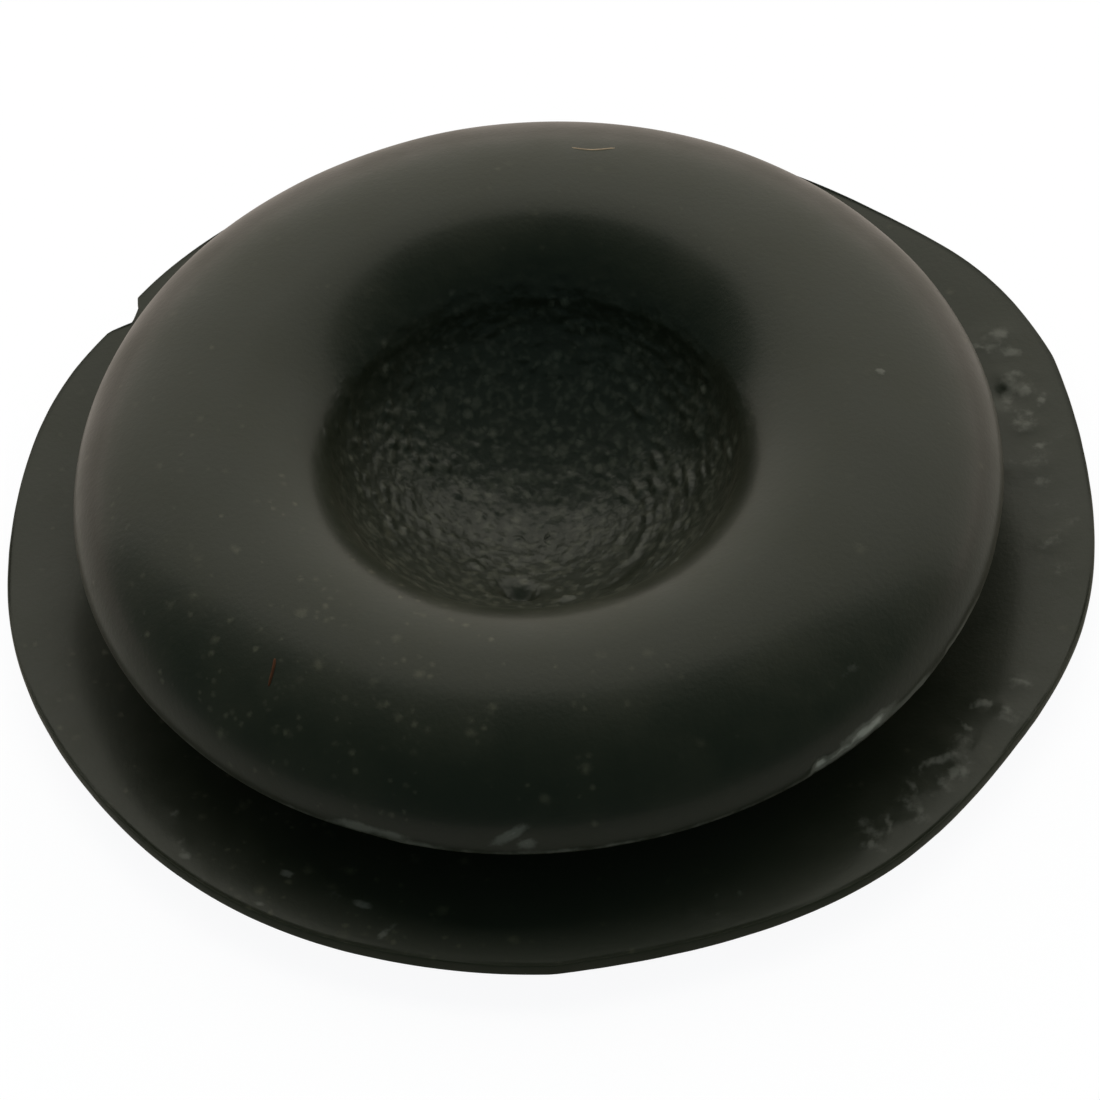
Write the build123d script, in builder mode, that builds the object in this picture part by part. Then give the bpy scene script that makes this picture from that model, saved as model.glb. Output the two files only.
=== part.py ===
from build123d import *
from math import cos, radians, sin, tan
import os

# Rubber body plug, moulded in one piece and pressed into a round hole in sheet metal.
# The frame: +Z along the axis, away from the flange; the origin is the middle of the flat underside.
# Lengths are in millimetres and angles in degrees, counted from +X towards +Y.

# Neck and groove, which grip the edge of the hole
neck_diameter = 14.0
groove_width = 1.3
groove_corner_bevel = 0.25

# Flange, which covers the hole: flat on top, domed below, thin at its edge
flange_overhang = 3.0
flange_thickness = 0.8
resting_face_diameter = 12.0
trim_allowance = 0.4
moulded_edge_thickness = 0.12

# Head, a rolled ring that is pushed through the hole
head_overhang = 1.5
head_height = 2.0
head_edge_bevel = 0.12

# Recess in the middle of the head: a lip that rolls inwards and down from the crest, and a bowl that it runs into.
# The fullness says how far the bowl keeps to the lip's direction and to its level floor: 0.55 is near a ball.
crest_diameter = 11.1
recess_depth = 3.5
lip_width = 1.95
lip_height = 1.5
lip_turn = 73.0
bowl_fullness = 0.55

# The flange's edge was trimmed by hand. Each stretch below runs on from the one before, anticlockwise,
# as angles, which count on past a full turn, and shares of the flange's radius.
front_to_right_shares = [(267, 0.996), (281, 0.985), (304, 1.005), (321, 0.996), (340, 1.014), (363, 1.012)]
right_facet_shares = [(378, 1.029), (384, 1.029)]
right_bulge_shares = [(392, 1.024), (399, 1.010)]
back_shares = [(406, 0.997), (418, 0.992), (455, 0.990), (486, 0.991), (497.4, 0.985)]
nick_shares = [(498.2, 0.969), (500.4, 0.955), (503, 0.978)]
left_to_front_shares = [(515, 0.989), (530, 0.985), (548, 0.991), (567, 0.987), (592, 0.994), (610, 0.990)]

# Sizes that follow from the ones above
neck_radius = neck_diameter / 2
head_radius = neck_radius + head_overhang
flange_radius = neck_radius + flange_overhang
blank_radius = flange_radius + trim_allowance
resting_radius = resting_face_diameter / 2
edge_rise = flange_thickness - moulded_edge_thickness
crest_radius = crest_diameter / 2
head_base = flange_thickness + groove_width
crest_level = head_base + head_height
bevel_radius = neck_radius + groove_corner_bevel
lower_bevel_level = flange_thickness + groove_corner_bevel
upper_bevel_level = head_base - groove_corner_bevel
head_underside_radius = head_radius - head_edge_bevel
shoulder_foot_level = head_base + head_edge_bevel
shoulder_height = head_height - head_edge_bevel
floor_level = crest_level - recess_depth
lip_centre_level = crest_level - lip_height
lip_end_radius = crest_radius - lip_width * sin(radians(lip_turn))
lip_end_level = lip_centre_level + lip_height * cos(radians(lip_turn))
lip_end_slope = lip_height / lip_width * tan(radians(lip_turn))
bowl_corner_radius = lip_end_radius - (lip_end_level - floor_level) / lip_end_slope


def rim_points(shares: list[tuple[float, float]]) -> list[Vector]:
    """Points of the trimmed edge, from angles and shares of the flange's radius."""
    return [Vector(flange_radius * share, 0).rotate(Axis.Z, angle) for angle, share in shares]


def ellipse_arc(
    centre: tuple[float, float], width: float, height: float, start: float, turn: float
) -> EllipticalCenterArc:
    """A part of an ellipse in the section, from the angle start on, as far as turn."""
    return EllipticalCenterArc(centre, width, height, start_angle=start, arc_size=turn)


with BuildPart() as body_plug:
    # The whole plug as moulded, turned about its axis from one half section, from the axis outwards and up
    with BuildSketch(Plane.XZ):
        with BuildLine():
            # Underside of the flange: a flat middle and a domed border
            Polyline((0, floor_level), (0, 0), (resting_radius, 0))
            TangentArc((resting_radius, 0), (blank_radius, edge_rise), tangent=(1, 0))
            # Edge and top of the flange, the groove with bevels at the neck, and the head's lower edge
            Polyline(
                (blank_radius, edge_rise),
                (blank_radius, flange_thickness),
                (bevel_radius, flange_thickness),
                (neck_radius, lower_bevel_level),
                (neck_radius, upper_bevel_level),
                (bevel_radius, head_base),
                (head_underside_radius, head_base),
                (head_radius, shoulder_foot_level),
            )
            # Head: shoulder, lip and bowl run on from each other with a common tangent. The bowl leaves the lip's end
            # towards the corner where the lip's direction meets the floor's level, and ends level on the axis.
            ellipse_arc((crest_radius, shoulder_foot_level), head_radius - crest_radius, shoulder_height, 0, 90)
            ellipse_arc((crest_radius, lip_centre_level), lip_width, lip_height, 90, lip_turn)
            lip_end = Vector(lip_end_radius, lip_end_level)
            bowl_corner = Vector(bowl_corner_radius, floor_level)
            bowl_middle = Vector(0, floor_level)
            Bezier(
                lip_end,
                lip_end + (bowl_corner - lip_end) * bowl_fullness,
                bowl_middle + (bowl_corner - bowl_middle) * bowl_fullness,
                bowl_middle,
            )
        make_face()
    revolve(axis=Axis.Z)

    # Hand trimming of the flange: waves and corners, and the nick torn out of the edge at the back left
    front_to_right = rim_points(front_to_right_shares)
    right_facet = rim_points(right_facet_shares)
    right_bulge = rim_points(right_bulge_shares)
    back = rim_points(back_shares)
    nick = rim_points(nick_shares)
    left_to_front = rim_points(left_to_front_shares)
    with BuildSketch(Plane.XY):
        Circle(blank_radius + trim_allowance)
        with BuildLine():
            Spline(*front_to_right, right_facet[0])
            Line(right_facet[0], right_facet[1])
            ThreePointArc(right_facet[1], *right_bulge)
            Spline(right_bulge[-1], *back)
            Polyline(back[-1], *nick)
            Spline(nick[-1], *left_to_front, front_to_right[0])
        make_face(mode=Mode.SUBTRACT)
    extrude(amount=lower_bevel_level, mode=Mode.SUBTRACT)

body_plug.part.label = "body_plug"

os.makedirs("parts", exist_ok=True)
export_step(body_plug.part, "parts/body_plug.step")
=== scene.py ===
"""Looks of a moulded rubber body plug: its worn skin, the lint on it, the studio and the camera.

Lengths are in metres, written as millimetres times MM. Angles are in degrees, anticlockwise from +X.
The plug's skin is one surface of two parameters: the way along its half section, which runs from the
middle of the underside out to the trimmed edge, up over the head and down into the recess, and the
angle about its axis.
"""
import logging
import math
from dataclasses import dataclass, field
from enum import Enum
from functools import cached_property

import bpy
import numpy as np
from mathutils import Matrix, Vector


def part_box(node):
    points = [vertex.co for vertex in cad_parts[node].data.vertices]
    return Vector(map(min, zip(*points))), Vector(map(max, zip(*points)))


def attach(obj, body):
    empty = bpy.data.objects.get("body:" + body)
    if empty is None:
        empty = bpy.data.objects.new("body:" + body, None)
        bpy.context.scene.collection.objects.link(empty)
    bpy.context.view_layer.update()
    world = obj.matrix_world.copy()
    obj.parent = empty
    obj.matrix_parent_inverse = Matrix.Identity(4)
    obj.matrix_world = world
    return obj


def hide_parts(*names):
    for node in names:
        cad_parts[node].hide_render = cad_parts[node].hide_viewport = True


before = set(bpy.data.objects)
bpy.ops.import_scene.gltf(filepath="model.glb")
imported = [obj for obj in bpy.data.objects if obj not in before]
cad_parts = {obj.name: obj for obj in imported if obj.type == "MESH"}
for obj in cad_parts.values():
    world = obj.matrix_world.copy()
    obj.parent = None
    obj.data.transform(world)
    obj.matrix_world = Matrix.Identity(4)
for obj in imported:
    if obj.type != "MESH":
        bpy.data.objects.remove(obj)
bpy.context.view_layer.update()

MM = 0.001
FULL_TURN = 2.0 * math.pi
FLANGE_THICKNESS = 0.8 * MM
BODY = "root"
PLUG_NODE = "body_plug"

Array = np.ndarray
Span = tuple[float, float]
Colour = tuple[float, float, float, float]
Socket = bpy.types.NodeSocket
log = logging.getLogger(PLUG_NODE)


class Stretch(Enum):
    """The stretches of the plug's half section, in the order in which the skin runs through them."""

    UNDERSIDE = "flat middle of the underside"
    DOME = "domed border of the underside"
    EDGE = "trimmed edge of the flange"
    FLANGE_TOP = "top of the flange"
    GROOVE = "groove round the neck"
    HEAD_EDGE = "lower edge of the head"
    SHOULDER = "outer side of the head"
    LIP = "rolled lip of the recess"
    BOWL = "bowl of the recess"


class Mask(Enum):
    """What the skin's finish reads at each point, by the name of the mesh's attribute."""

    DUST = "dust_share"
    SCUFF = "scuff_share"
    EDGE = "edge_share"
    TOOLED = "tooled_share"
    # Paler film in the recess, partly painted fill, and painted fill on the flange's front, both lifting
    # shade
    FILM = "film_share"


def smooth_step(value: Array, low: float, high: float) -> Array:
    """A smooth rise from 0 at low to 1 at high, as 3 t squared less 2 t cubed; a fall if high is less."""
    share = np.clip((value - low) / (high - low), 0.0, 1.0)
    return share * share * (3.0 - 2.0 * share)


def angle_between(angle: Array, other: Array | float) -> Array:
    """The signed turn from other to angle, in radians, by the shorter way round."""
    return (angle - other + math.pi) % FULL_TURN - math.pi


def side_share(around: Array, middle: float, spread: float) -> Array:
    """A bell curve over angles in radians, round a middle and as wide as a spread in degrees."""
    return np.exp(-(angle_between(around, math.radians(middle)) / math.radians(spread)) ** 2)


class LatticeNoise:
    """Smooth random heights in space, from -1 to 1, on a turned lattice of seeded values that repeats."""

    count = 40

    def __init__(self, cell: float, seed: int) -> None:
        """Draws the lattice's values and the way it is turned.

        Args:
            cell: The lattice's spacing in metres.
            seed: The seed of its random numbers.
        """
        self.cell = cell
        draw = np.random.default_rng(seed)
        self.values = draw.uniform(-1.0, 1.0, (self.count,) * 3)
        self.turn = np.linalg.qr(draw.normal(size=(3, 3)))[0]

    def at(self, points: Array) -> Array:
        """Heights at points: the eight lattice values round each, mixed by smoothed shares of the way.

        Args:
            points: Places in metres, with x, y and z on the last axis.

        Returns:
            One height for each point.
        """
        place = points @ self.turn / self.cell
        corner = np.floor(place).astype(int)
        share = smooth_step(place - corner, 0.0, 1.0)
        height = np.zeros(points.shape[:-1])
        for step in np.ndindex(2, 2, 2):
            weight = np.prod(np.where(np.array(step, bool), share, 1.0 - share), axis=-1)
            x, y, z = np.moveaxis((corner + np.array(step)) % self.count, -1, 0)
            height += weight * self.values[x, y, z]
        return height


@dataclass
class SkinGrid:
    """The unworn skin on a grid: rows along the section, by columns about the axis."""

    points: Array
    around: Array
    radius: Array
    level: Array
    row_stretch: Array
    normal: Array = field(init=False)

    def __post_init__(self) -> None:
        """Finds the outward normals: the step round the axis crossed with the step along the section."""
        along = np.gradient(self.points, axis=0)
        beside = np.roll(self.points, -1, axis=1) - np.roll(self.points, 1, axis=1)
        normal = np.cross(beside, along)
        self.normal = normal / np.linalg.norm(normal, axis=-1, keepdims=True)

    def on(self, *stretches: Stretch) -> Array:
        """Whether each row lies on one of the stretches, as one column."""
        return np.isin(self.row_stretch, [stretch.name for stretch in stretches])[:, None]

    def noise(self, cell: float, seed: int) -> Array:
        """Lattice noise at the skin's points."""
        return LatticeNoise(cell, seed).at(self.points)


@dataclass
class ClosedSkin:
    """A tube-like mesh on a grid of rows and columns, closed at both ends by a pole."""

    name: str
    points: Array
    first_pole: Array
    last_pole: Array
    masks: dict[Mask, Array] = field(default_factory=dict)

    def faces(self) -> list[list[int]]:
        """Quads between neighbouring rows and columns, the last column joined to the first, and two fans.

        Returns:
            Corner numbers of each face, in the order that turns it outwards.
        """
        rows, columns = self.points.shape[:2]
        index = np.arange(rows * columns).reshape(rows, columns)
        beside = np.roll(index, -1, axis=1)
        quads = np.stack([index[:-1], beside[:-1], beside[1:], index[1:]], axis=-1).reshape(-1, 4)
        first = np.full(columns, rows * columns)
        last = first + 1
        start_fan = np.stack([first, beside[0], index[0]], axis=-1)
        end_fan = np.stack([last, index[-1], beside[-1]], axis=-1)
        return quads.tolist() + start_fan.tolist() + end_fan.tolist()

    def build(self) -> bpy.types.Object:
        """Makes the mesh and its object, with smooth faces and one float attribute for each mask.

        Returns:
            The object, at the origin, in the scene's collection.
        """
        mesh = bpy.data.meshes.new(self.name)
        vertices = np.concatenate([self.points.reshape(-1, 3), [self.first_pole], [self.last_pole]])
        mesh.from_pydata(vertices.tolist(), [], self.faces())
        mesh.polygons.foreach_set("use_smooth", np.ones(len(mesh.polygons), bool))
        for mask, shares in self.masks.items():
            values = np.concatenate([shares.ravel(), [shares[0].mean(), shares[-1].mean()]])
            attribute = mesh.attributes.new(mask.value, "FLOAT", "POINT")
            attribute.data.foreach_set("value", values.astype(np.float32))
        mesh.update()
        piece = bpy.data.objects.new(self.name, mesh)
        bpy.context.scene.collection.objects.link(piece)
        return piece


class NodeBench:
    """Adds and links the nodes of one material or world."""

    noise_roughness = 0.6

    def __init__(self, tree: bpy.types.NodeTree) -> None:
        """Starts from an empty tree."""
        self.tree = tree
        tree.nodes.clear()

    def add(
        self, kind: str, inputs: dict[str | int, object] | None = None, **settings: object
    ) -> bpy.types.Node:
        """Adds a node.

        Args:
            kind: The node's type.
            inputs: Values or sockets for its inputs, by name or number.
            settings: Values for the node's own settings.

        Returns:
            The new node.
        """
        node = self.tree.nodes.new(kind)
        for name, value in settings.items():
            setattr(node, name, value)
        for key, value in (inputs or {}).items():
            if isinstance(value, Socket):
                self.tree.links.new(value, node.inputs[key])
            else:
                node.inputs[key].default_value = value
        return node

    @cached_property
    def place(self) -> Socket:
        """The place on the piece, from its Object coordinates, in millimetres."""
        place = self.add("ShaderNodeTexCoord").outputs["Object"]
        return self.add("ShaderNodeMapping", {"Vector": place, "Scale": (1 / MM,) * 3}).outputs["Vector"]

    def noise(self, size: float, detail: float = 2.0) -> Socket:
        """Fractal noise with lumps of a size in millimetres."""
        inputs = {"Vector": self.place, "Scale": 1.0 / size, "Detail": detail}
        return self.add("ShaderNodeTexNoise", {**inputs, "Roughness": self.noise_roughness}).outputs["Fac"]

    def attribute(self, mask: Mask) -> Socket:
        """A mask that the mesh holds."""
        return self.add("ShaderNodeAttribute", attribute_name=mask.value).outputs["Fac"]

    def ramp(self, value: Socket, low: float, high: float, start: float = 0.0, end: float = 1.0) -> Socket:
        """A smooth change from start, where value is low, to end, where it is high."""
        inputs = {"Value": value, 1: low, 2: high, 3: start, 4: end}
        return self.add("ShaderNodeMapRange", inputs, interpolation_type="SMOOTHSTEP").outputs["Result"]

    def math(self, operation: str, first: object, second: object) -> Socket:
        """A sum, product or other operation on two numbers."""
        return self.add("ShaderNodeMath", {0: first, 1: second}, operation=operation).outputs[0]

    def times(self, first: object, second: object) -> Socket:
        """The product of two numbers."""
        return self.math("MULTIPLY", first, second)

    def mix(self, share: object, first: object, second: object) -> Socket:
        """The colour first where share is 0, and second where it is 1."""
        inputs = {0: share, 6: first, 7: second}
        return self.add("ShaderNodeMix", inputs, data_type="RGBA").outputs[2]

    def bump(self, height: Socket, distance: float, strength: float = 1.0) -> Socket:
        """A normal that follows heights, which stand for a distance in metres."""
        inputs = {"Height": height, "Distance": distance, "Strength": strength}
        return self.add("ShaderNodeBump", inputs).outputs["Normal"]


@dataclass(frozen=True)
class RubberFinish:
    """Old black rubber: a dull, grained skin of uneven gloss, filmed, cut, scuffed and dusty, with painted
    fill that lifts its shade in the recess and on the flange's front.

    Sizes and spacings of its patterns are in millimetres. A span says between which values of its
    pattern a change runs.
    """

    deep: Colour = (0.0085, 0.0115, 0.0055, 1.0)
    worn: Colour = (0.0135, 0.0160, 0.0085, 1.0)
    # Paler film: partly residue, partly painted fill that lifts the shade in the recess and on the
    # flange's front
    film: Colour = (0.0225, 0.0255, 0.0185, 1.0)
    fleck: Colour = (0.088, 0.088, 0.070, 1.0)
    cut_edge: Colour = (0.0165, 0.0185, 0.0085, 1.0)
    scuff: Colour = (0.100, 0.100, 0.090, 1.0)
    palest: Colour = (0.360, 0.355, 0.340, 1.0)
    dust: Colour = (0.056, 0.055, 0.038, 1.0)
    smooth_roughness: float = 0.38
    dull_roughness: float = 0.50
    scuffed_roughness: float = 0.68
    cut_roughness: float = 0.75
    specular: float = 0.21
    coat: float = 0.16
    coat_roughness: float = 0.20
    haze: float = 0.042
    haze_roughness: float = 0.4
    haze_tint: Colour = (1.0, 0.80, 0.66, 1.0)
    mottle_size: float = 1.4
    tone_span: Span = (0.35, 0.70)
    gloss_span: Span = (0.30, 0.75)
    grain_size: float = 0.10
    grain_height: float = 0.010 * MM
    grain_strength: float = 0.5
    tooled_grain: float = 0.8
    lump_size: float = 0.20
    lump_height: float = 0.05 * MM
    stain_span: Span = (0.45, 0.75)
    stain_share: float = 0.6
    scuff_size: float = 0.22
    scuff_span: Span = (-0.15, 0.45)
    palest_span: Span = (0.6, 1.4)
    group_size: float = 0.7
    group_span: Span = (0.36, 0.64)
    group_shares: Span = (0.2, 1.8)
    dust_spacings: Span = (0.40, 0.22)
    dust_reach: float = 0.24
    fleck_spacing: float = 0.26
    fleck_reach: float = 0.30
    stray_flecks: float = 0.42
    raggedness: float = 0.20
    rags_per_cell: float = 3.0
    speck_softness: float = 0.9
    speck_fade: float = 0.5

    def material(self) -> bpy.types.Material:
        """Makes the finish: layers of colour from noise and masks, with gloss and grain to match.

        Returns:
            The material.
        """
        material = bpy.data.materials.new("dusty_black_rubber")
        material.use_nodes = True
        bench = NodeBench(material.node_tree)
        mottle = bench.noise(self.mottle_size, detail=5.0)
        lump = bench.noise(self.lump_size, detail=1.0)
        film = bench.attribute(Mask.FILM)
        tooled = bench.attribute(Mask.TOOLED)
        edging = bench.attribute(Mask.EDGE)
        unevenness = bench.noise(self.scuff_size, detail=4.0)
        rubbing = bench.math("SUBTRACT", bench.attribute(Mask.SCUFF), unevenness)
        scuffing = bench.ramp(rubbing, *self.scuff_span)
        # Flecks and stains in the film, where the tool marked the rubber
        strewn = bench.times(tooled, bench.ramp(film, 0.0, 1.0, self.stray_flecks, 1.0))
        flecks = self.specks(bench, strewn, self.fleck_spacing, self.fleck_reach)
        residue = bench.times(film, tooled)
        stain = bench.times(bench.ramp(lump, *self.stain_span, 0.0, self.stain_share), residue)
        # Dust, as clumps and finer specks that lie in loose groups
        grouping = bench.ramp(bench.noise(self.group_size), *self.group_span, *self.group_shares)
        settled = bench.times(bench.attribute(Mask.DUST), grouping)
        clumps, finer = (
            self.specks(bench, settled, spacing, self.dust_reach) for spacing in self.dust_spacings
        )
        # Colour, layer over layer
        colour = bench.mix(bench.ramp(mottle, *self.tone_span), self.deep, self.worn)
        for share, layer in (
            # The film layer is partly painted fill over shade
            (film, self.film),
            (bench.math("MAXIMUM", flecks, stain), self.fleck),
            (edging, self.cut_edge),
            (scuffing, self.scuff),
            # Near white where the scuff mask runs highest
            (bench.ramp(rubbing, *self.palest_span), self.palest),
            (bench.math("MAXIMUM", clumps, finer), self.dust),
        ):
            colour = bench.mix(share, colour, layer)
        # Gloss, which mottles vary and wear takes away
        gloss = bench.ramp(mottle, *self.gloss_span, self.smooth_roughness, self.dull_roughness)
        scuffed_loss = bench.times(scuffing, self.scuffed_roughness - self.dull_roughness)
        cut_loss = bench.times(edging, self.cut_roughness - self.dull_roughness)
        loss = bench.math("ADD", scuffed_loss, cut_loss)
        # Grain, coarser where the tool marked the rubber, and lumps there that break up the coat's shine
        grain = bench.noise(self.grain_size, detail=3.0)
        coarseness = bench.math("ADD", bench.times(tooled, self.tooled_grain), 1.0)
        coarse = bench.times(grain, coarseness)
        grained = bench.bump(coarse, self.grain_height, self.grain_strength)
        lumpy = bench.bump(bench.times(lump, tooled), self.lump_height)
        shader = bench.add("ShaderNodeBsdfPrincipled", {
            "Base Color": colour,
            "Roughness": bench.math("ADD", gloss, loss),
            "Specular IOR Level": self.specular,
            "Coat Weight": self.coat,
            "Coat Roughness": self.coat_roughness,
            "Coat Normal": lumpy,
            "Sheen Weight": self.haze,
            "Sheen Roughness": self.haze_roughness,
            "Sheen Tint": self.haze_tint,
            "Normal": grained,
        })
        bench.add("ShaderNodeOutputMaterial", {"Surface": shader.outputs["BSDF"]})
        return material

    def specks(self, bench: NodeBench, cover: Socket, spacing: float, reach: float) -> Socket:
        """Ragged specks: the middles of random cells, kept where the cover exceeds the cell's own number.

        Args:
            bench: The material's bench.
            cover: The share of the cells that hold a speck.
            spacing: How far apart the cells lie, in millimetres.
            reach: A speck's usual radius as a share of the spacing.

        Returns:
            How much of a speck is at each place.
        """
        cells = bench.add("ShaderNodeTexVoronoi", {"Vector": bench.place, "Scale": 1.0 / spacing})
        numbers = bench.add("ShaderNodeSeparateColor", {"Color": cells.outputs["Color"]}).outputs
        ragged = bench.times(bench.noise(spacing / self.rags_per_cell), 2.0 * self.raggedness)
        from_middle = bench.math("ADD", cells.outputs["Distance"], ragged)
        beyond = bench.math("SUBTRACT", from_middle, bench.times(numbers["Green"], reach))
        soft = self.speck_softness * reach
        speck = bench.ramp(beyond, self.raggedness + soft, self.raggedness - soft)
        kept = bench.ramp(bench.math("SUBTRACT", cover, numbers["Red"]), 0.0, self.speck_fade)
        return bench.times(speck, kept)


@dataclass(frozen=True)
class LintFinish:
    """Dull textile lint, with paler and darker lengths along it, whose size is in millimetres."""

    name: str
    pale: Colour
    dark: Colour
    tone_size: float = 0.2
    tone_span: Span = (0.35, 0.65)
    roughness: float = 0.7
    specular: float = 0.15

    def material(self) -> bpy.types.Material:
        """Makes the finish: two tones that follow noise.

        Returns:
            The material.
        """
        material = bpy.data.materials.new(self.name)
        material.use_nodes = True
        bench = NodeBench(material.node_tree)
        tone = bench.ramp(bench.noise(self.tone_size), *self.tone_span)
        shader = bench.add("ShaderNodeBsdfPrincipled", {
            "Base Color": bench.mix(tone, self.dark, self.pale),
            "Roughness": self.roughness,
            "Specular IOR Level": self.specular,
        })
        bench.add("ShaderNodeOutputMaterial", {"Surface": shader.outputs["BSDF"]})
        return material


@dataclass(frozen=True)
class PlugSizes:
    """Sizes of the plug's half section, as its solid has them. The height comes from the frame."""

    height: float
    neck_radius: float = 7.0 * MM
    groove_width: float = 1.3 * MM
    groove_bevel: float = 0.25 * MM
    flange_thickness: float = FLANGE_THICKNESS
    resting_radius: float = 6.0 * MM
    blank_radius: float = 10.4 * MM
    blank_edge: float = 0.12 * MM
    head_radius: float = 8.5 * MM
    head_edge: float = 0.12 * MM
    crest_radius: float = 5.55 * MM
    lip_width: float = 1.95 * MM
    lip_height: float = 1.5 * MM
    lip_turn: float = math.radians(73.0)
    recess_depth: float = 3.5 * MM
    bowl_fullness: float = 0.55

    @property
    def bevel_radius(self) -> float:
        """Radius where the groove's bevels meet the flange and the head."""
        return self.neck_radius + self.groove_bevel

    @property
    def head_base(self) -> float:
        """Level of the head's underside."""
        return self.flange_thickness + self.groove_width

    @property
    def shoulder_foot(self) -> float:
        """Level where the head's outer side starts, above its rounded lower edge."""
        return self.head_base + self.head_edge

    def dome(self, radius: Array) -> Array:
        """The underside: an arc that leaves the flat middle level and rises to the blank's edge.

        Args:
            radius: Radii past the flat middle.

        Returns:
            Levels.
        """
        rise = self.flange_thickness - self.blank_edge
        reach = self.blank_radius - self.resting_radius
        arc = (reach * reach + rise * rise) / (2.0 * rise)
        return arc - np.sqrt(arc * arc - (radius - self.resting_radius) ** 2)

    def shoulder(self, turn: Array) -> tuple[Array, Array]:
        """Radius and level of the head's side: a quarter ellipse from foot, at turn 0, to crest."""
        radius = self.crest_radius + (self.head_radius - self.crest_radius) * np.cos(turn)
        return radius, self.shoulder_foot + (self.height - self.shoulder_foot) * np.sin(turn)

    def lip(self, turn: Array) -> tuple[Array, Array]:
        """Radius and level of the rolled lip: an ellipse from the crest, at turn 0, inwards and down."""
        radius = self.crest_radius - self.lip_width * np.sin(turn)
        return radius, self.height - self.lip_height * (1.0 - np.cos(turn))

    def bowl(self, share: Array) -> tuple[Array, Array]:
        """The bowl: a cubic curve from the lip's end, in its direction, to the axis, where it is level.

        The curve's two middle points lie towards the corner where the lip's direction meets the floor.

        Args:
            share: The share of the way from the lip's end to the axis.

        Returns:
            Radius and level.
        """
        end_radius, end_level = self.lip(np.float64(self.lip_turn))
        floor = self.height - self.recess_depth
        slope = self.lip_height / self.lip_width * math.tan(self.lip_turn)
        corner = np.array([end_radius - (end_level - floor) / slope, floor])
        start = np.array([end_radius, end_level])
        middle = np.array([0.0, floor])
        leaving = start + (corner - start) * self.bowl_fullness
        arriving = middle + (corner - middle) * self.bowl_fullness
        rest = 1.0 - share
        weights = (rest ** 3, 3.0 * rest ** 2 * share, 3.0 * rest * share ** 2, share ** 3)
        radius, level = (
            sum(weight * point[axis] for weight, point in zip(weights, (start, leaving, arriving, middle)))
            for axis in range(2)
        )
        return radius, level


class TrimmedRim:
    """The hand-trimmed edge of the flange, as the frame's solid has it, with the knife's small wavers."""

    waver = 0.008 * MM
    waver_length = 0.5 * MM

    def __init__(self, node: bpy.types.Object, sizes: PlugSizes) -> None:
        """Reads the solid's corners on the flange's top edge.

        Args:
            node: The frame's object.
            sizes: The plug's sizes.
        """
        corners = np.empty(len(node.data.vertices) * 3)
        node.data.vertices.foreach_get("co", corners)
        x, y, z = corners.reshape(-1, 3).T
        radius = np.hypot(x, y)
        on_rim = (np.abs(z - sizes.flange_thickness) < sizes.head_edge) & (radius > sizes.head_radius)
        self.angles = np.arctan2(y[on_rim], x[on_rim]) % FULL_TURN
        self.radii = radius[on_rim]
        self.noise = LatticeNoise(self.waver_length, seed=11)

    def radius(self, angle: Array) -> Array:
        """The edge: the solid's radius, mixed between its corners, less the waver.

        Args:
            angle: Angles in radians.

        Returns:
            Radii.
        """
        radius = np.interp(angle, self.angles, self.radii, period=FULL_TURN)
        places = np.stack([radius * np.cos(angle), radius * np.sin(angle), 0.0 * angle], axis=-1)
        return radius - self.waver * (0.5 + 0.5 * self.noise.at(places))


@dataclass(frozen=True)
class DottedRings:
    """Small round bumps in rings about the plug's axis, each shifted, sized and raised at random."""

    pitch: float = 0.27 * MM
    step: float = 0.30 * MM
    size: float = 0.070 * MM
    dash: float = 1.0
    seed: int = 22
    shift_along: float = 0.4
    shift_across: float = 0.25
    size_spread: float = 0.3
    usual_height: float = 0.3
    height_spread: float = 0.8
    drawn_rings: int = 64
    drawn_dots: int = 256

    def at(self, way: Array, grid: SkinGrid) -> Array:
        """Heights of the bumps, between 0 and about 1: bell curves round the middles of the nearest nine.

        Args:
            way: The way along the section from the bowl's middle, which counts the rings.
            grid: The skin's grid.

        Returns:
            One height for each point.
        """
        draw = np.random.default_rng(self.seed)
        shape = (5, self.drawn_rings, self.drawn_dots)
        across, along, raised, wide, begin = draw.uniform(-1.0, 1.0, shape)
        height = np.zeros(np.broadcast_shapes(way.shape, grid.around.shape))
        for ring_step, dot_step in np.ndindex(3, 3):
            ring = np.floor(way / self.pitch).astype(int) + ring_step - 1
            drawn = ring % self.drawn_rings
            dots = np.maximum(np.round(FULL_TURN * np.abs(ring + 0.5) * self.pitch / self.step), 1.0)
            turned = grid.around + math.pi * begin[drawn, 0]
            dot = np.floor(turned * dots / FULL_TURN).astype(int) + dot_step - 1
            pick = (drawn, dot % dots.astype(int) % self.drawn_dots)
            turn = (dot + 0.5 + self.shift_along * along[pick]) * FULL_TURN / dots
            beside = grid.radius * angle_between(turned, turn) / self.dash
            beyond = way - (ring + 0.5 + self.shift_across * across[pick]) * self.pitch
            reach = self.size * (1.0 + self.size_spread * wide[pick])
            tall = np.clip(self.usual_height + self.height_spread * raised[pick], 0.0, 1.0)
            height += tall * np.exp(-(beside ** 2 + beyond ** 2) / reach ** 2)
        return height


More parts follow.
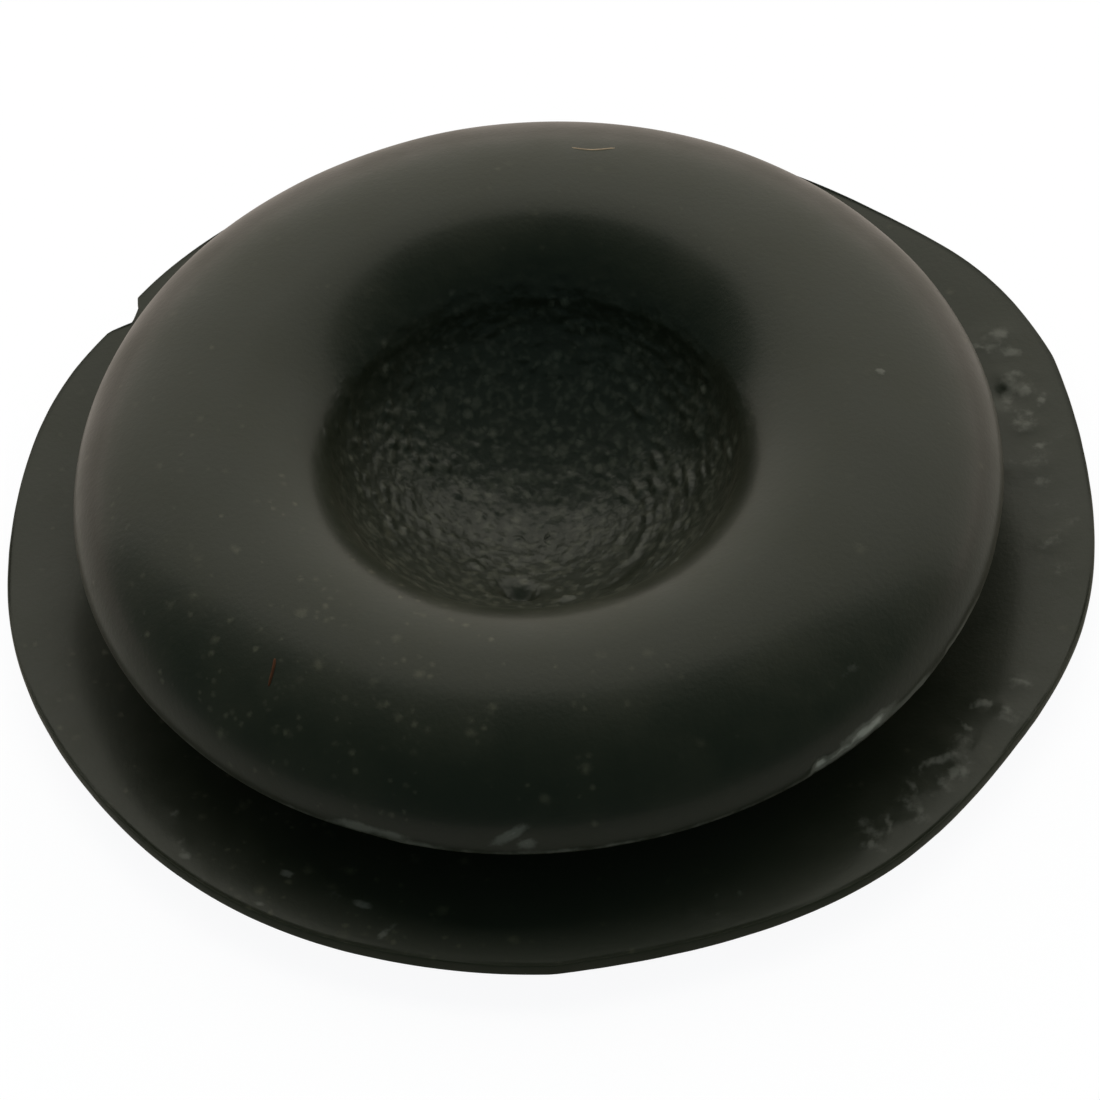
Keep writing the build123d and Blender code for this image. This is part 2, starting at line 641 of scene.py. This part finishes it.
@dataclass(frozen=True)
class Patch:
    """A worn place, in millimetres and degrees; on top of the flange, if no other level is stated."""

    angle: float
    radius: float
    half_length: float
    half_width: float
    level: float = FLANGE_THICKNESS / MM
    turn: float = 0.0
    scuff: float = 0.0
    dust: float = 0.0
    height: float = 0.0

    def share(self, grid: SkinGrid) -> Array:
        """How much of the patch is at each point: a bell curve along and across it.

        Args:
            grid: The skin's grid.

        Returns:
            Shares between 0 and 1.
        """
        radius = self.radius * MM
        around = radius * angle_between(grid.around, math.radians(self.angle))
        farther = grid.radius - radius
        out = np.sign(farther) * np.hypot(farther, grid.level - self.level * MM)
        turn = math.radians(self.turn)
        along = (around * math.cos(turn) + out * math.sin(turn)) / (self.half_length * MM)
        across = (out * math.cos(turn) - around * math.sin(turn)) / (self.half_width * MM)
        return np.exp(-along * along - across * across)


@dataclass(frozen=True)
class ScuffKind:
    """A kind of scuff: how its sizes in millimetres, turns and depths range, and how strong it is."""

    lengths: Span = (0.12, 0.26)
    widths: Span = (0.07, 0.13)
    scuff: float = 1.2
    turns: Span = (40.0, 130.0)
    depths: Span = (0.6, 1.0)
    height: float = 0.012


MARKS = ScuffKind()
FAINT_MARKS = ScuffKind(scuff=0.7)
CLOUDS = ScuffKind(lengths=(0.30, 0.55), widths=(0.18, 0.32), scuff=0.60)
STREAKS = ScuffKind(lengths=(0.16, 0.38), widths=(0.06, 0.10), scuff=1.15)


@dataclass(frozen=True)
class ScuffField:
    """A rubbed stretch of the flange's top: scuffs of one kind, scattered and turned at random."""

    kind: ScuffKind
    angles: Span
    radii: Span
    count: int
    seed: int

    def patches(self) -> list[Patch]:
        """The field's scuffs, each of its own length, width and direction, a little raised.

        Returns:
            As many patches as the field counts.
        """
        kind = self.kind
        draw = np.random.default_rng(self.seed)
        spans = (self.angles, self.radii, kind.lengths, kind.widths, kind.turns, kind.depths)
        return [
            Patch(*place, turn=turn, scuff=kind.scuff * depth, height=kind.height * depth)
            for *place, turn, depth in zip(*(draw.uniform(*span, self.count) for span in spans))
        ]


SCUFF_FIELDS = (
    ScuffField(CLOUDS, (3.0, 24.0), (9.0, 9.7), 12, seed=31),
    ScuffField(MARKS, (3.0, 24.0), (9.1, 9.7), 16, seed=32),
    ScuffField(CLOUDS, (345.0, 363.0), (9.2, 9.7), 7, seed=36),
    ScuffField(CLOUDS, (304.0, 334.0), (9.0, 9.7), 16, seed=33),
    ScuffField(STREAKS, (304.0, 318.0), (8.9, 9.5), 10, seed=34),
    ScuffField(STREAKS, (317.0, 332.0), (8.9, 9.7), 8, seed=37),
    ScuffField(FAINT_MARKS, (216.0, 290.0), (8.9, 9.8), 16, seed=35),
)

FLANGE_SCUFFS = (
    *(patch for scuffs in SCUFF_FIELDS for patch in scuffs.patches()),
    Patch(224.5, 9.61, 0.18, 0.09, turn=30.0, scuff=1.10),
    Patch(235.3, 8.88, 0.16, 0.08, scuff=1.20),
    Patch(245.2, 8.96, 0.20, 0.10, scuff=1.25),
    Patch(248.6, 9.51, 0.14, 0.09, turn=80.0, scuff=1.20),
    Patch(234.7, 9.71, 0.12, 0.07, scuff=1.10),
    Patch(15.2, 9.05, 0.26, 0.18, height=-0.10),
)

HEAD_SCUFFS = (
    Patch(309.8, 8.48, 0.66, 0.17, 2.38, scuff=2.00, height=-0.02),
    Patch(305.6, 8.49, 0.62, 0.13, 2.32, scuff=1.60, height=-0.02),
    Patch(302.4, 8.49, 0.20, 0.14, 2.32, scuff=2.00, height=-0.02),
    Patch(318.0, 8.50, 0.90, 0.09, 2.25, scuff=1.20),
    Patch(329.0, 8.50, 1.40, 0.08, 2.25, scuff=0.95),
    Patch(244.0, 8.49, 0.50, 0.16, 2.33, scuff=1.10, height=-0.02),
    Patch(248.0, 8.49, 0.45, 0.14, 2.35, scuff=1.00),
    Patch(251.5, 8.50, 0.70, 0.09, 2.24, scuff=1.00),
    Patch(262.8, 8.43, 0.42, 0.12, 2.62, turn=-32.0, scuff=1.30, height=-0.02),
    Patch(264.8, 8.47, 0.20, 0.13, 2.44, scuff=1.25, height=-0.02),
    Patch(268.5, 8.50, 0.60, 0.08, 2.24, scuff=0.95),
    Patch(275.5, 8.50, 0.50, 0.07, 2.24, scuff=0.90),
    Patch(311.5, 7.88, 0.45, 0.30, 3.37, scuff=0.45),
    Patch(3.5, 6.36, 0.09, 0.08, 4.03, scuff=1.60),
)

# Angle, radius, half length, half width, level and dust of each clump
DUST_CLUMPS = tuple(Patch(*place, dust=dust) for *place, dust in (
    (206.0, 7.91, 0.30, 0.22, 3.35, 0.55),
    (211.5, 7.70, 0.45, 0.20, 3.52, 0.75),
    (216.0, 7.70, 0.40, 0.18, 3.52, 0.70),
    (223.0, 7.55, 0.50, 0.25, 3.60, 0.60),
    (227.0, 7.45, 0.35, 0.20, 3.66, 0.65),
    (236.0, 7.20, 0.50, 0.30, 3.77, 0.45),
    (247.0, 6.52, 0.30, 0.20, 3.98, 0.50),
    (252.0, 6.68, 0.40, 0.20, 3.95, 0.60),
    (256.5, 6.52, 0.35, 0.15, 3.98, 0.60),
    (271.0, 5.70, 0.30, 0.20, 4.10, 0.40),
))

# Dents and a bump in the recess; the masks paint shade into the dents
RECESS_DENTS = (
    Patch(250.5, 1.51, 0.34, 0.25, 0.94, height=-0.28),
    Patch(279.5, 1.89, 0.14, 0.10, 1.13, height=0.08),
    Patch(312.5, 2.11, 0.60, 0.24, 1.26, height=-0.04),
)


@dataclass
class BodyPlug:
    """The plug: its skin on a grid of section and angle, moulded, tool-marked, trimmed and worn."""

    sizes: PlugSizes
    rim: TrimmedRim
    finish: RubberFinish = RubberFinish()
    # Skin and flange
    edge_softness: float = 0.030 * MM
    hem_share: float = 0.004
    groove_shares: tuple[float, ...] = (0.08, 0.50, 0.92, 1.0)
    skin_wave: float = 0.012 * MM
    flange_wave: float = 0.03 * MM
    flange_dip: float = 0.11 * MM
    dip_radii: Span = (9.9 * MM, 8.0 * MM)
    # Tool marks in the recess
    dots: DottedRings = DottedRings()
    dashes: DottedRings = DottedRings(dash=2.2, step=0.40 * MM, seed=26)
    dashed_cosines: Span = (0.3, 0.8)
    floor_dots: float = 0.036 * MM
    wall_dots: float = 0.056 * MM
    wall_ways: Span = (1.2 * MM, 2.8 * MM)
    ring_bend: float = 0.10 * MM
    usual_dots: float = 0.7
    dots_spread: float = 0.4
    mottle_height: float = 0.012 * MM
    fine_mottles: float = 0.7
    marks_radius: float = 4.10 * MM
    marks_rise: float = 0.42 * MM
    marks_fade: float = 0.75 * MM
    # Wear, dirt and painted fill
    back_sines: Span = (0.45, 1.0)
    # Wear and dirt
    scuff_roughness: float = 0.014 * MM
    fine_scuffs: float = 0.5
    lower_edge_paleness: float = 0.62
    pale_line_reach: float = 0.07 * MM
    cut_reach: float = 0.06 * MM
    dust_cover: float = 0.16
    dusty_cover: float = 0.42
    dusty_side: Span = (228.0, 40.0)
    dust_tilts: Span = (-0.1, 0.5)
    # Painted fill: the paler film that lifts the shade in the recess and on the flange's front
    wall_film_and_fill: float = 0.42
    film_and_fill_tilts: Span = (0.2, 0.9)
    painted_fill_side: Span = (272.0, 42.0)
    # Grid
    columns: tuple[tuple[float, float, int], ...] = (
        (-60.0, 30.0, 130),
        (30.0, 134.0, 84),
        (134.0, 147.0, 24),
        (147.0, 230.0, 92),
        (230.0, 300.0, 86),
    )
    rows: dict[Stretch, int] = field(default_factory=lambda: {
        Stretch.UNDERSIDE: 4,
        Stretch.DOME: 10,
        Stretch.EDGE: 7,
        Stretch.FLANGE_TOP: 30,
        Stretch.HEAD_EDGE: 5,
        Stretch.SHOULDER: 38,
        Stretch.LIP: 36,
        Stretch.BOWL: 92,
    })

    def angles(self) -> Array:
        """Angles of the columns, closer together at the nick and along the scuffed side."""
        spans = [np.linspace(start, end, count, endpoint=False) for start, end, count in self.columns]
        return np.radians(np.concatenate(spans))

    def shares(self, stretch: Stretch) -> Array:
        """The rows' shares of the way along a stretch, without its start, as one column."""
        count = self.rows[stretch]
        return (np.arange(count)[:, None] + 1.0) / count

    def hemmed_shares(self, stretch: Stretch) -> Array:
        """Such shares with one more row close to the start, which keeps a crisp corner there."""
        return np.concatenate([[[self.hem_share]], self.shares(stretch)])

    @cached_property
    def grid(self) -> SkinGrid:
        """The skin as moulded and trimmed: radius and level, stretch by stretch, at each column's angle.

        Straight stretches are even mixtures of their ends. The trimmed edge is half an ellipse as tall as
        the flange is there. The head's edge, shoulder and lip are parts of ellipses that, with the bowl's
        cubic curve, run on from each other with common tangents.

        Returns:
            The grid.
        """
        sizes = self.sizes
        angle = self.angles()
        edge_start = self.rim.radius(angle)[None, :] - self.edge_softness
        edge_foot = sizes.dome(edge_start)
        half_edge = (sizes.flange_thickness - edge_foot) / 2.0
        skin = {}
        out = sizes.resting_radius * self.shares(Stretch.UNDERSIDE)
        skin[Stretch.UNDERSIDE] = (out, 0.0 * out)
        inward = np.concatenate([1.0 - self.hemmed_shares(Stretch.DOME)[-2::-1], [[1.0]]])
        out = sizes.resting_radius + (edge_start - sizes.resting_radius) * inward
        skin[Stretch.DOME] = (out, sizes.dome(out))
        turn = math.pi * (self.shares(Stretch.EDGE) - 0.5)
        bulge = edge_start + self.edge_softness * np.cos(turn)
        skin[Stretch.EDGE] = (bulge, edge_foot + half_edge * (1.0 + np.sin(turn)))
        back = edge_start + (sizes.bevel_radius - edge_start) * self.hemmed_shares(Stretch.FLANGE_TOP)
        skin[Stretch.FLANGE_TOP] = (back, sizes.flange_thickness + 0.0 * back)
        skin[Stretch.GROOVE] = self.groove()
        turn = math.pi / 2.0 * (self.shares(Stretch.HEAD_EDGE) - 1.0)
        out = sizes.head_radius - sizes.head_edge + sizes.head_edge * np.cos(turn)
        skin[Stretch.HEAD_EDGE] = (out, sizes.shoulder_foot + sizes.head_edge * np.sin(turn))
        skin[Stretch.SHOULDER] = sizes.shoulder(math.pi / 2.0 * self.shares(Stretch.SHOULDER))
        skin[Stretch.LIP] = sizes.lip(sizes.lip_turn * self.shares(Stretch.LIP))
        count = self.rows[Stretch.BOWL]
        skin[Stretch.BOWL] = sizes.bowl(self.shares(Stretch.BOWL) * count / (count + 1.0))
        radius, level = (
            np.concatenate([skin[stretch][i] + 0.0 * edge_start for stretch in Stretch]) for i in range(2)
        )
        names = np.concatenate([np.full(len(skin[stretch][0]), stretch.name) for stretch in Stretch])
        around = np.broadcast_to(angle, radius.shape)
        points = np.stack([radius * np.cos(around), radius * np.sin(around), level], axis=-1)
        return SkinGrid(points, around, radius, level, names)

    def groove(self) -> tuple[Array, Array]:
        """The groove: straight runs between its corners, with rows close to each corner to keep it crisp.

        Returns:
            Radius and level of its rows, as columns.
        """
        sizes = self.sizes
        corners = np.array([
            (sizes.bevel_radius, sizes.flange_thickness),
            (sizes.neck_radius, sizes.flange_thickness + sizes.groove_bevel),
            (sizes.neck_radius, sizes.head_base - sizes.groove_bevel),
            (sizes.bevel_radius, sizes.head_base),
            (sizes.head_radius - sizes.head_edge, sizes.head_base),
        ])
        shares = np.array(self.groove_shares)[None, :, None]
        runs = corners[:-1, None] + (corners[1:] - corners[:-1])[:, None] * shares
        radius, level = runs.reshape(-1, 2).T
        return radius[:, None], level[:, None]

    def build(self) -> bpy.types.Object:
        """Builds the worn skin and dresses it.

        Returns:
            The plug's object, which stands for its solid.
        """
        grid = self.grid
        points = grid.points + grid.normal * self.relief()[..., None]
        points[..., 2] += self.sag(points)
        points[..., 2] = np.clip(points[..., 2], 0.0, self.sizes.height)
        first_pole = np.zeros(3)
        last_pole = np.array([0.0, 0.0, points[-1, :, 2].mean()])
        piece = ClosedSkin("rubber_plug", points, first_pole, last_pole, self.masks()).build()
        piece.data.materials.append(self.finish.material())
        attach(piece, BODY)
        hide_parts(PLUG_NODE)
        return piece

    def sag(self, points: Array) -> Array:
        """How far the thin flange has moved: noise over the plan that grows to the edge, less a dip.

        The dip of its top is a smooth fall from the edge to the neck. It fades out up the groove's bevel.

        Args:
            points: Places of the worn skin.

        Returns:
            Shifts along +Z.
        """
        grid = self.grid
        thin = grid.on(Stretch.DOME, Stretch.EDGE, Stretch.FLANGE_TOP)
        reach = smooth_step(grid.radius, self.sizes.neck_radius, self.rim.radii.max())
        plan = points * np.array([1.0, 1.0, 0.0])
        flutter = thin * reach * self.flange_wave * LatticeNoise(cell=2.6 * MM, seed=5).at(plan)
        inward = smooth_step(grid.radius, *self.dip_radii)
        above = (grid.level - self.sizes.flange_thickness) / self.sizes.groove_bevel
        below = 1.0 - np.clip(above, 0.0, 1.0)
        dip = self.flange_dip * grid.on(Stretch.FLANGE_TOP, Stretch.GROOVE) * inward * below
        return flutter - dip

    def relief(self) -> Array:
        """Height of the skin over its moulded form: slow waves, tool marks in the recess, and worn places.

        Returns:
            Heights along the normals.
        """
        grid = self.grid
        crisp = grid.on(Stretch.UNDERSIDE, Stretch.EDGE, Stretch.GROOVE)
        waves = grid.noise(cell=1.6 * MM, seed=3) - 1.0
        relief = ~crisp * self.skin_wave * waves + self.tool_marks()
        coarse = grid.noise(cell=0.22 * MM, seed=7)
        fine = grid.noise(cell=0.11 * MM, seed=8)
        rough = self.scuff_roughness * (coarse + self.fine_scuffs * fine)
        for patch in FLANGE_SCUFFS + HEAD_SCUFFS + RECESS_DENTS:
            relief = relief + patch.share(grid) * (patch.height * MM + patch.scuff * rough)
        return relief

    def tooled(self, rise: float) -> Array:
        """How much the tool marked each point: all of the bowl, and the lip up to a border.

        Args:
            rise: How much farther out the border lies at the back.

        Returns:
            Shares, which fade out across the border.
        """
        grid = self.grid
        border = self.marks_radius + rise * smooth_step(np.sin(grid.around), *self.back_sines)
        inside = smooth_step(grid.radius - border, 0.0, -self.marks_fade)
        return grid.on(Stretch.LIP, Stretch.BOWL) * inside

    def tool_marks(self) -> Array:
        """What a coarse tool left in the recess: mottles, and rings of dots.

        The rings follow the way along the section from the bowl's middle, bent by slow noise. The dots are
        taller on the wall and drawn out to dashes on its right. The mottles are plain noise.

        Returns:
            Heights of the marks.
        """
        grid = self.grid
        radius = grid.radius[:, 0]
        level = grid.level[:, 0]
        steps = np.hypot(np.diff(radius, append=0.0), np.diff(level, append=level[-1]))
        way = np.cumsum(steps[::-1])[::-1][:, None]
        bent = way + self.ring_bend * grid.noise(cell=0.9 * MM, seed=21)
        dashed = smooth_step(np.cos(grid.around), *self.dashed_cosines)
        dots = (1.0 - dashed) * self.dots.at(bent, grid) + dashed * self.dashes.at(bent, grid)
        wear = self.usual_dots + self.dots_spread * grid.noise(cell=0.8 * MM, seed=23)
        coarse = grid.noise(cell=0.30 * MM, seed=24)
        fine = grid.noise(cell=0.17 * MM, seed=25)
        mottles = self.mottle_height * (coarse + self.fine_mottles * fine)
        tallest = self.floor_dots + (self.wall_dots - self.floor_dots) * smooth_step(way, *self.wall_ways)
        return self.tooled(self.marks_rise) * (tallest * wear * dots + mottles)

    def masks(self) -> dict[Mask, Array]:
        """What the finish reads: bell curves and smooth rises over angle, radius, level and tilt.

        Returns:
            One array of rows by columns for each mask.
        """
        grid = self.grid
        upward = grid.normal[..., 2]
        # Dust: thin all over, thicker on one side and in clumps, and only on what faces up
        dust = self.dust_cover + self.dusty_cover * side_share(grid.around, *self.dusty_side)
        for patch in DUST_CLUMPS:
            dust = np.maximum(dust, patch.dust * patch.share(grid))
        # Scuffs: a paler line along the head's lower edge, and the worn places
        off_edge = (grid.level - self.sizes.shoulder_foot) / self.pale_line_reach
        scuff = self.lower_edge_paleness * np.exp(-off_edge ** 2) * (grid.radius > self.sizes.crest_radius)
        for patch in FLANGE_SCUFFS + HEAD_SCUFFS:
            scuff = np.maximum(scuff, patch.scuff * patch.share(grid))
        # Cut face: the trimmed edge, fading in a little below it
        inward = (self.rim.radius(grid.around[0])[None, :] - grid.radius) / self.cut_reach
        cut = grid.on(Stretch.EDGE, Stretch.DOME) * np.exp(-inward ** 2)
        # Film and painted fill: a paler film on the bowl's floor, thinner on its wall, which partly lifts
        # the recess's shade, and painted fill on the front of the flange, which lifts its shade
        flat = smooth_step(upward, *self.film_and_fill_tilts)
        tooled = self.tooled(self.marks_rise)
        recess = self.tooled(0.0) * (self.wall_film_and_fill + (1.0 - self.wall_film_and_fill) * flat)
        flange = side_share(grid.around, *self.painted_fill_side) * grid.on(Stretch.FLANGE_TOP, Stretch.GROOVE)
        # The dents in the recess are kept bare of film and tool marks, which paints shade into them
        for patch in RECESS_DENTS:
            painted_dent_shade = 1.0 - patch.share(grid) * (patch.height < 0.0)
            tooled = tooled * painted_dent_shade
            recess = recess * painted_dent_shade
        return {
            Mask.DUST: dust * smooth_step(upward, *self.dust_tilts),
            Mask.SCUFF: scuff,
            Mask.EDGE: cut,
            Mask.TOOLED: tooled,
            Mask.FILM: np.maximum(recess, flange),
        }


@dataclass(frozen=True)
class LintFibre:
    """A fibre on the head's shoulder, between two places given as angle and the shoulder's own turn."""

    name: str
    start: Span
    end: Span
    bow: float
    thickness: float
    finish: LintFinish
    bedding: float = 0.35
    taper_power: int = 6
    blunt_end: float = 0.02
    rows: int = 40
    columns: int = 8

    def build(self, sizes: PlugSizes) -> bpy.types.Object:
        """Builds the fibre: a circle, tapered to both ends, carried along a bowed curve on the shoulder.

        Args:
            sizes: The plug's sizes.

        Returns:
            The fibre's object.
        """
        share = np.linspace(0.0, 1.0, self.rows)
        angle = np.radians(self.start[0] + (self.end[0] - self.start[0]) * share)
        straight = self.start[1] + (self.end[1] - self.start[1]) * share
        turn = np.radians(straight + self.bow * np.sin(math.pi * share))
        radius, level = sizes.shoulder(turn)
        path = np.stack([radius * np.cos(angle), radius * np.sin(angle), level], axis=-1)
        lean = np.arctan2((sizes.head_radius - sizes.crest_radius) * np.sin(turn),
                          (sizes.height - sizes.shoulder_foot) * np.cos(turn))
        outward = np.stack([np.cos(angle), np.sin(angle), 0.0 * angle], axis=-1)
        normal = np.cos(lean)[:, None] * outward + np.sin(lean)[:, None] * np.array([0.0, 0.0, 1.0])
        side = np.cross(np.gradient(path, axis=0), normal)
        side = side / np.linalg.norm(side, axis=-1, keepdims=True)
        taper = np.sqrt(1.0 + self.blunt_end - (2.0 * share - 1.0) ** self.taper_power)
        round_angle = np.linspace(0.0, FULL_TURN, self.columns, endpoint=False)[None, :, None]
        ring = np.cos(round_angle) * normal[:, None] + np.sin(round_angle) * side[:, None]
        middle = path - self.bedding * self.thickness * normal
        points = middle[:, None] + self.thickness / 2.0 * taper[:, None, None] * ring
        piece = ClosedSkin(self.name, points, middle[0], middle[-1]).build()
        piece.data.materials.append(self.finish.material())
        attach(piece, BODY)
        return piece


@dataclass(frozen=True)
class PhotoCamera:
    """The photograph's camera: it looks down on the plug from the front, a little rolled."""

    elevation: float = 49.76
    roll: float = -5.14
    distance: float = 146.0 * MM
    nearest: float = 7.3 * MM
    aim_level: float = 2.1 * MM
    focal_pixels: float = 8000.0
    image_pixels: float = 1100.0
    aim_pixel: Span = (538.19, 487.28)
    sensor: float = 36.0

    def build(self) -> bpy.types.Object:
        """Makes the camera, turned so that the aim point on the plug's axis falls on its pixel.

        Returns:
            The camera's object, which the scene then uses.
        """
        lift = math.radians(self.elevation)
        roll = math.radians(self.roll)
        right = Vector((1.0, 0.0, 0.0))
        up = Vector((0.0, math.sin(lift), math.cos(lift)))
        back = Vector((0.0, -math.cos(lift), math.sin(lift)))
        image_right = right * math.cos(roll) + up * math.sin(roll)
        image_up = up * math.cos(roll) - right * math.sin(roll)
        across = (self.aim_pixel[0] - self.image_pixels / 2.0) / self.focal_pixels
        above = (self.image_pixels / 2.0 - self.aim_pixel[1]) / self.focal_pixels
        forward = (-back - image_right * across - image_up * above).normalized()
        turned_right = (image_right - forward * image_right.dot(forward)).normalized()
        turned_up = turned_right.cross(forward)
        data = bpy.data.cameras.new("photo_camera")
        data.sensor_width = self.sensor
        data.lens = self.sensor * self.focal_pixels / self.image_pixels
        data.clip_start = self.nearest
        camera = bpy.data.objects.new("photo_camera", data)
        place = Vector((0.0, 0.0, self.aim_level)) + back * self.distance
        turn = Matrix((turned_right, turned_up, -forward)).transposed()
        camera.matrix_world = Matrix.Translation(place) @ turn.to_4x4()
        bpy.context.scene.collection.objects.link(camera)
        bpy.context.scene.camera = camera
        return camera


@dataclass(frozen=True)
class Studio:
    """A pale table before one broad, bright screen, warmer along its foot, with a faint, cool fill."""

    table_half: float = 0.6
    table_gap: float = 0.01 * MM
    table_colour: Colour = (0.86, 0.85, 0.84, 1.0)
    table_white: Colour = (1.06, 1.06, 1.07, 1.0)
    table_glow: Colour = (1.0, 0.87, 0.78, 1.0)
    table_roughness: float = 0.35
    white_share: float = 0.88
    mirrored_shares: Span = (0.15, 0.95)
    mirrored_span: Span = (-6.0 * MM, 14.0 * MM)
    screen_direction: tuple[float, float, float] = (0.18, 0.98, 0.04)
    screen_span: Span = (0.29, 0.34)
    screen_levels: Span = (1.264, 1.58)
    screen_heights: Span = (0.25, 0.75)
    screen_colour: Colour = (1.0, 0.98, 0.85, 1.0)
    foot_level: float = 0.50
    foot_height: float = 0.22
    foot_span: Span = (-0.35, 0.25)
    foot_colour: Colour = (1.0, 0.88, 0.78, 1.0)
    fill_level: float = 0.18
    fill_colour: Colour = (0.72, 1.0, 0.92, 1.0)

    def build(self) -> bpy.types.Object:
        """Makes the table and the light, and sets the plain view transform.

        Returns:
            The table's object.
        """
        bpy.context.scene.view_settings.view_transform = "Standard"
        self.light()
        return self.table()

    def table(self) -> bpy.types.Object:
        """Makes the table, just below the plug's underside, white to the camera, with the plug's shadow.

        In reflections it glows warm, as painted light that is brighter behind the plug than in front of
        it.

        Returns:
            The table's object.
        """
        half = self.table_half
        corners = [(-half, -half), (half, -half), (half, half), (-half, half)]
        mesh = bpy.data.meshes.new("table")
        mesh.from_pydata([(x, y, -self.table_gap) for x, y in corners], [], [(0, 1, 2, 3)])
        table = bpy.data.objects.new("table", mesh)
        bpy.context.scene.collection.objects.link(table)
        material = bpy.data.materials.new("pale_table")
        material.use_nodes = True
        bench = NodeBench(material.node_tree)
        path = bench.add("ShaderNodeLightPath").outputs
        seen = bench.times(path["Is Camera Ray"], self.white_share)
        place = bench.add("ShaderNodeTexCoord").outputs["Object"]
        away = bench.add("ShaderNodeSeparateXYZ", {"Vector": place}).outputs["Y"]
        # Painted light: reflections see more of the warm glow behind the plug than in front of it
        brighter = bench.ramp(away, *self.mirrored_span, *self.mirrored_shares)
        share = bench.math("MAXIMUM", seen, bench.times(path["Is Glossy Ray"], brighter))
        satin = {"Base Color": self.table_colour, "Roughness": self.table_roughness}
        lit = bench.add("ShaderNodeBsdfPrincipled", satin).outputs["BSDF"]
        tint = bench.mix(path["Is Camera Ray"], self.table_glow, self.table_white)
        white = bench.add("ShaderNodeEmission", {"Color": tint}).outputs["Emission"]
        surface = bench.add("ShaderNodeMixShader", {0: share, 1: lit, 2: white}).outputs["Shader"]
        bench.add("ShaderNodeOutputMaterial", {"Surface": surface})
        mesh.materials.append(material)
        return table

    def light(self) -> None:
        """Makes the world: a bright screen one way, a warmer strip along its foot, and a faint fill."""
        world = bpy.data.worlds.new("soft_studio")
        world.use_nodes = True
        bpy.context.scene.world = world
        bench = NodeBench(world.node_tree)
        direction = bench.add("ShaderNodeTexCoord").outputs["Generated"]
        inputs = {0: direction, 1: self.screen_direction}
        nearness = bench.add("ShaderNodeVectorMath", inputs, operation="DOT_PRODUCT").outputs["Value"]
        height = bench.add("ShaderNodeSeparateXYZ", {"Vector": direction}).outputs["Z"]
        lit = bench.ramp(nearness, *self.screen_span)
        screen = bench.times(lit, bench.ramp(height, *self.screen_heights, *self.screen_levels))
        low = bench.ramp(height, 0.0, self.foot_height, 1.0, 0.0)
        foot = bench.times(low, bench.ramp(nearness, *self.foot_span))
        glow = bench.math("ADD", bench.times(foot, self.foot_level), self.fill_level)
        cool = bench.mix(lit, self.fill_colour, self.screen_colour)
        sky = bench.add("ShaderNodeBackground", {
            "Color": bench.mix(foot, cool, self.foot_colour),
            "Strength": bench.math("ADD", screen, glow),
        })
        bench.add("ShaderNodeOutputWorld", {"Surface": sky.outputs["Background"]})


BROWN_LINT = LintFinish("brown_lint", pale=(0.48, 0.355, 0.26, 1.0), dark=(0.34, 0.25, 0.185, 1.0))
RED_LINT = LintFinish("red_lint", pale=(0.078, 0.026, 0.010, 1.0), dark=(0.046, 0.016, 0.007, 1.0))

LINT = (
    LintFibre("brown_fibre", (80.0, 66.5), (73.0, 64.0), 2.0, 0.045 * MM, BROWN_LINT),
    LintFibre("red_fibre", (224.9, 62.0), (226.7, 51.5), 1.0, 0.06 * MM, RED_LINT),
)


def main() -> None:
    """Builds the plug, its lint, the studio and the camera, and reports each piece."""
    logging.basicConfig(level=logging.INFO, format="%(name)s: %(message)s")
    sizes = PlugSizes(height=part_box(PLUG_NODE)[1].z)
    rim = TrimmedRim(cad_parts[PLUG_NODE], sizes)
    pieces = [BodyPlug(sizes, rim).build()]
    pieces += [fibre.build(sizes) for fibre in LINT]
    for piece in pieces:
        log.info("%s: %d faces on %s", piece.name, len(piece.data.polygons), BODY)
    log.info("stage: %s", Studio().build().name)
    log.info("camera: %s", PhotoCamera().build().name)


if __name__ == "__main__":
    main()
